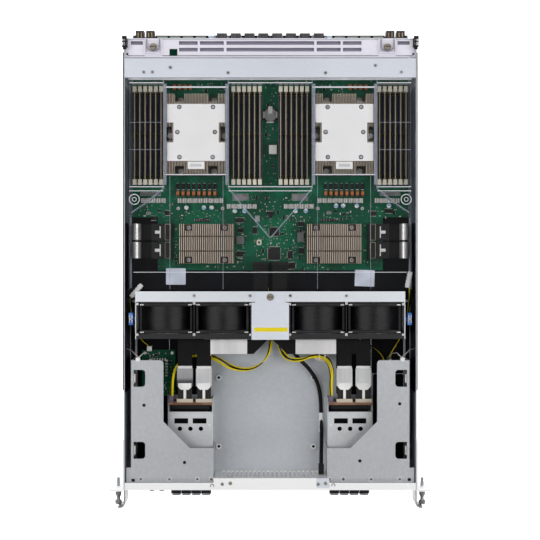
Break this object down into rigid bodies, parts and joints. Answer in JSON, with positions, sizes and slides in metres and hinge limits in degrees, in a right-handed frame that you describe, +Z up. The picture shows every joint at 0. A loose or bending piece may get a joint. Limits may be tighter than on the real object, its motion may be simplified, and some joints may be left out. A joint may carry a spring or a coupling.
{
  "type": "gpu server",
  "caption": "Slide-in rack server tray with processors, memory banks, switch heatsinks, a lift-out fan row, a clear air shroud and two network bays, for hosting graphics accelerators.",
  "frame": {"origin": "middle of the tray floor's underside, halfway between its front and rear walls", "axes": "+Z up, +Y towards the rear blind-mate connectors, +X to the right seen from the front ports"},
  "size_m": [0.4826, 0.729, 0.087],
  "materials": {
    "zinc_steel": "zinc plated sheet",
    "white_plate": "white painted sheet",
    "bright_steel": "plated turned steel",
    "cast_handle": "bent aluminium strip",
    "board_green": "solder masked laminate",
    "brass_post": "turned brass",
    "black_film": "insulating film",
    "fin_metal": "stacked fins",
    "black_plastic": "moulded",
    "cream_plastic": "moulded",
    "module_dark": "memory laminate with chips",
    "orange_case": "moulded capacitor",
    "can_metal": "capacitor can",
    "cell_steel": "coin cell",
    "fan_black": "moulded fan",
    "latch_blue": "moulded release latch",
    "clear_sheet": "clear polycarbonate",
    "port_steel": "pressed port cage",
    "plug_steel": "pressed plug shell",
    "tab_white": "moulded pull tab",
    "cable_black": "flat and round cable",
    "lead_yellow": "insulated wire",
    "guide_blue": "moulded guide"
  },
  "bodies": {
    "tray": {"base_pan": "zinc_steel", "board_chips": "black_plastic", "board_connectors": "black_plastic", "board_standoffs": "brass_post", "cable_plugs": "plug_steel", "chassis_screws": "bright_steel", "coin_cell": "cell_steel", "cpu_sockets": "black_plastic", "cross_bar": "zinc_steel", "dimm_modules": "module_dark", "dimm_sockets": "black_plastic", "dust_plugs": "black_plastic", "fan_cage": "zinc_steel", "fan_cover_plate": "zinc_steel", "flat_cables": "cable_black", "front_panel": "zinc_steel", "guide_modules": "guide_blue", "heatsink_plates": "white_plate", "heatsink_screws": "bright_steel", "inductors": "black_plastic", "insulating_film": "black_film", "left_bay_cover": "zinc_steel", "left_cpu_heatsink": "fin_metal", "left_switch_heatsink": "fin_metal", "motherboard": "board_green", "ocp_cages": "zinc_steel", "orange_capacitors": "orange_case", "polymer_capacitors": "can_metal", "port_boards": "board_green", "port_cages": "port_steel", "power_leads": "lead_yellow", "pull_handles": "cast_handle", "pull_tabs": "tab_white", "rack_ears": "zinc_steel", "rear_connectors": "black_plastic", "rear_deck": "zinc_steel", "right_bay_cover": "zinc_steel", "right_cpu_heatsink": "fin_metal", "right_switch_heatsink": "fin_metal", "signal_cable": "cable_black"},
    "fan_1": {"fan_frame_1": "fan_black"},
    "rotor_1": {"fan_rotor_1": "fan_black"},
    "fan_2": {"fan_frame_2": "fan_black"},
    "rotor_2": {"fan_rotor_2": "fan_black"},
    "fan_3": {"fan_frame_3": "fan_black"},
    "rotor_3": {"fan_rotor_3": "fan_black"},
    "fan_4": {"fan_frame_4": "fan_black"},
    "rotor_4": {"fan_rotor_4": "fan_black"},
    "left_ear_screw": {"left_ear_thumbscrew": "bright_steel"},
    "left_deck_screw": {"left_deck_thumbscrew": "bright_steel"},
    "left_latch": {"left_cage_latch": "latch_blue"},
    "left_front_dimm_latches": {"left_front_dimm_latches": "cream_plastic"},
    "left_rear_dimm_latches": {"left_rear_dimm_latches": "cream_plastic"},
    "right_ear_screw": {"right_ear_thumbscrew": "bright_steel"},
    "right_deck_screw": {"right_deck_thumbscrew": "bright_steel"},
    "right_latch": {"right_cage_latch": "latch_blue"},
    "right_front_dimm_latches": {"right_front_dimm_latches": "cream_plastic"},
    "right_rear_dimm_latches": {"right_rear_dimm_latches": "cream_plastic"},
    "cover_screw": {"cover_thumbscrew": "bright_steel"},
    "shroud": {"air_shroud": "clear_sheet"}
  },
  "joints": [
    {"name": "fan_1_lift", "type": "slide", "parent": "tray", "child": "fan_1", "axis": [0, 0, 1], "range_m": [0, 0.09]},
    {"name": "fan_1_spin", "type": "hinge", "parent": "fan_1", "child": "rotor_1", "pos_m": [-0.157, -0.1046, 0.0424], "axis": [0, 1, 0], "continuous": true},
    {"name": "fan_2_lift", "type": "slide", "parent": "tray", "child": "fan_2", "axis": [0, 0, 1], "range_m": [0, 0.09]},
    {"name": "fan_2_spin", "type": "hinge", "parent": "fan_2", "child": "rotor_2", "pos_m": [-0.0722, -0.1046, 0.0424], "axis": [0, 1, 0], "continuous": true},
    {"name": "fan_3_lift", "type": "slide", "parent": "tray", "child": "fan_3", "axis": [0, 0, 1], "range_m": [0, 0.09]},
    {"name": "fan_3_spin", "type": "hinge", "parent": "fan_3", "child": "rotor_3", "pos_m": [0.0722, -0.1046, 0.0424], "axis": [0, 1, 0], "continuous": true},
    {"name": "fan_4_lift", "type": "slide", "parent": "tray", "child": "fan_4", "axis": [0, 0, 1], "range_m": [0, 0.09]},
    {"name": "fan_4_spin", "type": "hinge", "parent": "fan_4", "child": "rotor_4", "pos_m": [0.157, -0.1046, 0.0424], "axis": [0, 1, 0], "continuous": true},
    {"name": "left_ear_screw_turn", "type": "hinge", "parent": "tray", "child": "left_ear_screw", "pos_m": [-0.23255, -0.342, 0.0435], "axis": [0, 1, 0], "continuous": true},
    {"name": "left_deck_screw_turn", "type": "hinge", "parent": "tray", "child": "left_deck_screw", "pos_m": [-0.1762, 0.3265, 0.0792], "axis": [0, 0, 1], "continuous": true},
    {"name": "left_latch_press", "type": "slide", "parent": "tray", "child": "left_latch", "axis": [1, 0, 0], "range_m": [0, 0.0036], "stiffness_N_per_m": 400},
    {"name": "left_front_dimm_latch_swing", "type": "hinge", "parent": "tray", "child": "left_front_dimm_latches", "pos_m": [0, 0.1261, 0.01815], "axis": [1, 0, 0], "range_deg": [0, 25]},
    {"name": "left_rear_dimm_latch_swing", "type": "hinge", "parent": "tray", "child": "left_rear_dimm_latches", "pos_m": [0, 0.2669, 0.01815], "axis": [-1, 0, 0], "range_deg": [0, 25]},
    {"name": "right_ear_screw_turn", "type": "hinge", "parent": "tray", "child": "right_ear_screw", "pos_m": [0.23255, -0.342, 0.0435], "axis": [0, 1, 0], "continuous": true},
    {"name": "right_deck_screw_turn", "type": "hinge", "parent": "tray", "child": "right_deck_screw", "pos_m": [0.1762, 0.3265, 0.0792], "axis": [0, 0, 1], "continuous": true},
    {"name": "right_latch_press", "type": "slide", "parent": "tray", "child": "right_latch", "axis": [-1, 0, 0], "range_m": [0, 0.0036], "stiffness_N_per_m": 400},
    {"name": "right_front_dimm_latch_swing", "type": "hinge", "parent": "tray", "child": "right_front_dimm_latches", "pos_m": [0, 0.1261, 0.01815], "axis": [1, 0, 0], "range_deg": [0, 25]},
    {"name": "right_rear_dimm_latch_swing", "type": "hinge", "parent": "tray", "child": "right_rear_dimm_latches", "pos_m": [0, 0.2669, 0.01815], "axis": [-1, 0, 0], "range_deg": [0, 25]},
    {"name": "cover_screw_turn", "type": "hinge", "parent": "tray", "child": "cover_screw", "pos_m": [0, -0.05, 0.084], "axis": [0, 0, 1], "continuous": true},
    {"name": "shroud_lift", "type": "slide", "parent": "tray", "child": "shroud", "axis": [0, 0, 1], "range_m": [0, 0.1]}
  ]
}
